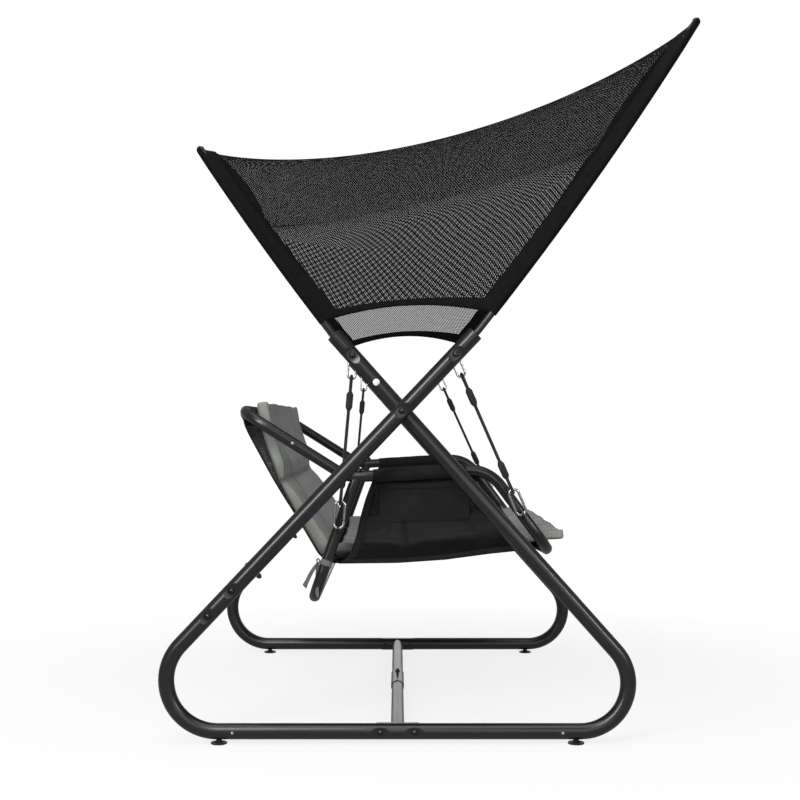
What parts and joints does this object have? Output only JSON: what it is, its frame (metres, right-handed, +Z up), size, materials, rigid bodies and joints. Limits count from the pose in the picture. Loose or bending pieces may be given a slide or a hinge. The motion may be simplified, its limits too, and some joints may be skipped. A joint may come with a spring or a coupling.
{
  "type": "canopy swing bench",
  "caption": "Garden swing bench: a tube seat with a tufted cushion hangs on ropes from two crossed side frames under a tensioned mesh canopy.",
  "frame": {"origin": "on the floor under the middle of the bounding box", "axes": "+Z up, -Y is the front that a sitter faces, +X is the sitter's left"},
  "size_m": [1.5, 1.4829, 1.9875],
  "materials": {
    "frame_paint": "satin black powder coat",
    "arm_paint": "satin black powder coat",
    "seat_paint": "satin black powder coat",
    "bolt_black": "black oxide",
    "zinc": "zinc plate",
    "hook_steel": "bright zinc plate",
    "black_plastic": "moulded",
    "pale_plastic": "moulded",
    "canopy_mesh": "coated open weave",
    "rope": "braided cord",
    "seat_mesh": "coated weave",
    "cushion_cloth": "woven outdoor cloth"
  },
  "bodies": {
    "stand": {"base_rail_left": "frame_paint", "base_rail_right": "frame_paint", "front_leg_left": "frame_paint", "front_leg_right": "frame_paint", "rear_bend_left": "frame_paint", "rear_bend_right": "frame_paint", "rear_diagonal_left": "frame_paint", "rear_diagonal_right": "frame_paint", "joint_sleeves": "zinc", "frame_bolts": "bolt_black", "crossing_spacers": "black_plastic", "hang_eyes": "bolt_black", "hole_plugs": "pale_plastic", "crossbar_left": "frame_paint", "crossbar_right": "frame_paint", "crossbar_saddles": "frame_paint", "crossbar_bolts": "bolt_black", "rear_crossbar": "frame_paint", "rear_stubs": "frame_paint", "socket_plugs": "black_plastic", "arm_caps": "black_plastic", "canopy_arm_front_left": "arm_paint", "canopy_arm_front_right": "arm_paint", "canopy_arm_rear_left": "arm_paint", "canopy_arm_rear_right": "arm_paint", "canopy_sleeves": "canopy_mesh", "canopy_fabric": "canopy_mesh"},
    "rear_ropes": {"rear_ropes": "rope", "rear_hooks": "hook_steel"},
    "front_ropes": {"front_ropes": "rope", "front_hooks": "hook_steel"},
    "seat": {"seat_front_bow": "seat_paint", "seat_back_bow": "seat_paint", "seat_rear_bow": "seat_paint", "bow_bolts": "bolt_black", "seat_eyes": "bolt_black", "seat_sling": "seat_mesh", "side_panels": "seat_mesh", "side_pockets": "seat_mesh", "cushion_back": "cushion_cloth", "cushion_seat": "cushion_cloth", "cushion_ties": "cushion_cloth"},
    "front_upper_gate_left": {"front_upper_gate_left": "hook_steel"},
    "front_upper_gate_right": {"front_upper_gate_right": "hook_steel"},
    "front_lower_gate_left": {"front_lower_gate_left": "hook_steel"},
    "front_lower_gate_right": {"front_lower_gate_right": "hook_steel"},
    "rear_upper_gate_left": {"rear_upper_gate_left": "hook_steel"},
    "rear_upper_gate_right": {"rear_upper_gate_right": "hook_steel"},
    "rear_lower_gate_left": {"rear_lower_gate_left": "hook_steel"},
    "rear_lower_gate_right": {"rear_lower_gate_right": "hook_steel"},
    "levelling_foot_front_left": {"levelling_foot_front_left": "black_plastic"},
    "snap_button_front_left": {"snap_button_front_left": "zinc"},
    "levelling_foot_front_right": {"levelling_foot_front_right": "black_plastic"},
    "snap_button_front_right": {"snap_button_front_right": "zinc"},
    "levelling_foot_rear_left": {"levelling_foot_rear_left": "black_plastic"},
    "snap_button_rear_left": {"snap_button_rear_left": "zinc"},
    "levelling_foot_rear_right": {"levelling_foot_rear_right": "black_plastic"},
    "snap_button_rear_right": {"snap_button_rear_right": "zinc"},
    "seat_button_left": {"seat_button_left": "zinc"},
    "seat_button_right": {"seat_button_right": "zinc"}
  },
  "joints": [
    {"name": "rear_swing", "type": "hinge", "parent": "stand", "child": "rear_ropes", "pos_m": [0, 0.21098, 1.0585], "axis": [1, 0, 0], "range_deg": [-12, 12]},
    {"name": "front_swing", "type": "hinge", "parent": "stand", "child": "front_ropes", "pos_m": [0, -0.07211, 1.0585], "axis": [1, 0, 0], "range_deg": [-12.7, 12.7]},
    {"name": "seat_pitch", "type": "hinge", "parent": "rear_ropes", "child": "seat", "pos_m": [0, 0.25213, 0.59446], "axis": [1, 0, 0], "range_deg": [-6.5, 6.5]},
    {"name": "front_upper_gate_left_hinge", "type": "hinge", "parent": "front_ropes", "child": "front_upper_gate_left", "pos_m": [0.6788, -0.09593, 1.03202], "axis": [1, 0, 0], "range_deg": [-24, 0], "stiffness_Nm_per_rad": 0.06, "springref_deg": 17.19},
    {"name": "front_upper_gate_right_hinge", "type": "hinge", "parent": "front_ropes", "child": "front_upper_gate_right", "pos_m": [-0.6788, -0.09593, 1.03202], "axis": [1, 0, 0], "range_deg": [-24, 0], "stiffness_Nm_per_rad": 0.06, "springref_deg": 17.19},
    {"name": "front_lower_gate_left_hinge", "type": "hinge", "parent": "front_ropes", "child": "front_lower_gate_left", "pos_m": [0.63277, -0.26752, 0.65372], "axis": [1, 0, 0], "range_deg": [-24, 0], "stiffness_Nm_per_rad": 0.06, "springref_deg": 17.19},
    {"name": "front_lower_gate_right_hinge", "type": "hinge", "parent": "front_ropes", "child": "front_lower_gate_right", "pos_m": [-0.63277, -0.26752, 0.65372], "axis": [1, 0, 0], "range_deg": [-24, 0], "stiffness_Nm_per_rad": 0.06, "springref_deg": 17.19},
    {"name": "rear_upper_gate_left_hinge", "type": "hinge", "parent": "rear_ropes", "child": "rear_upper_gate_left", "pos_m": [0.63, 0.20303, 1.02358], "axis": [1, 0, 0], "range_deg": [-24, 0], "stiffness_Nm_per_rad": 0.06, "springref_deg": 17.19},
    {"name": "rear_upper_gate_right_hinge", "type": "hinge", "parent": "rear_ropes", "child": "rear_upper_gate_right", "pos_m": [-0.63, 0.20303, 1.02358], "axis": [1, 0, 0], "range_deg": [-24, 0], "stiffness_Nm_per_rad": 0.06, "springref_deg": 17.19},
    {"name": "rear_lower_gate_left_hinge", "type": "hinge", "parent": "rear_ropes", "child": "rear_lower_gate_left", "pos_m": [0.63, 0.23662, 0.61088], "axis": [1, 0, 0], "range_deg": [-24, 0], "stiffness_Nm_per_rad": 0.06, "springref_deg": 17.19},
    {"name": "rear_lower_gate_right_hinge", "type": "hinge", "parent": "rear_ropes", "child": "rear_lower_gate_right", "pos_m": [-0.63, 0.23662, 0.61088], "axis": [1, 0, 0], "range_deg": [-24, 0], "stiffness_Nm_per_rad": 0.06, "springref_deg": 17.19},
    {"name": "levelling_foot_front_left_turn", "type": "hinge", "parent": "stand", "child": "levelling_foot_front_left", "pos_m": [0.7, -0.40483, 0], "axis": [0, 0, 1], "continuous": true},
    {"name": "snap_button_front_left_press", "type": "slide", "parent": "stand", "child": "snap_button_front_left", "axis": [-1, 0, 0], "range_m": [0, 0.0034], "stiffness_N_per_m": 700, "springref_m": -0.003},
    {"name": "levelling_foot_front_right_turn", "type": "hinge", "parent": "stand", "child": "levelling_foot_front_right", "pos_m": [-0.7, -0.40483, 0], "axis": [0, 0, 1], "continuous": true},
    {"name": "snap_button_front_right_press", "type": "slide", "parent": "stand", "child": "snap_button_front_right", "axis": [1, 0, 0], "range_m": [0, 0.0034], "stiffness_N_per_m": 700, "springref_m": -0.003},
    {"name": "levelling_foot_rear_left_turn", "type": "hinge", "parent": "stand", "child": "levelling_foot_rear_left", "pos_m": [0.7, 0.57717, 0], "axis": [0, 0, 1], "continuous": true},
    {"name": "snap_button_rear_left_press", "type": "slide", "parent": "stand", "child": "snap_button_rear_left", "axis": [-1, 0, 0], "range_m": [0, 0.0034], "stiffness_N_per_m": 700, "springref_m": -0.003},
    {"name": "levelling_foot_rear_right_turn", "type": "hinge", "parent": "stand", "child": "levelling_foot_rear_right", "pos_m": [-0.7, 0.57717, 0], "axis": [0, 0, 1], "continuous": true},
    {"name": "snap_button_rear_right_press", "type": "slide", "parent": "stand", "child": "snap_button_rear_right", "axis": [1, 0, 0], "range_m": [0, 0.0034], "stiffness_N_per_m": 700, "springref_m": -0.003},
    {"name": "seat_button_left_press", "type": "slide", "parent": "seat", "child": "seat_button_left", "axis": [-1, 0, 0], "range_m": [0, 0.0034], "stiffness_N_per_m": 700, "springref_m": -0.003},
    {"name": "seat_button_right_press", "type": "slide", "parent": "seat", "child": "seat_button_right", "axis": [1, 0, 0], "range_m": [0, 0.0034], "stiffness_N_per_m": 700, "springref_m": -0.003}
  ],
  "couplings": [
    {"joint": "front_swing", "follows": "rear_swing", "ratio": 1.05},
    {"joint": "seat_pitch", "follows": "rear_swing", "ratio": -0.5333}
  ]
}
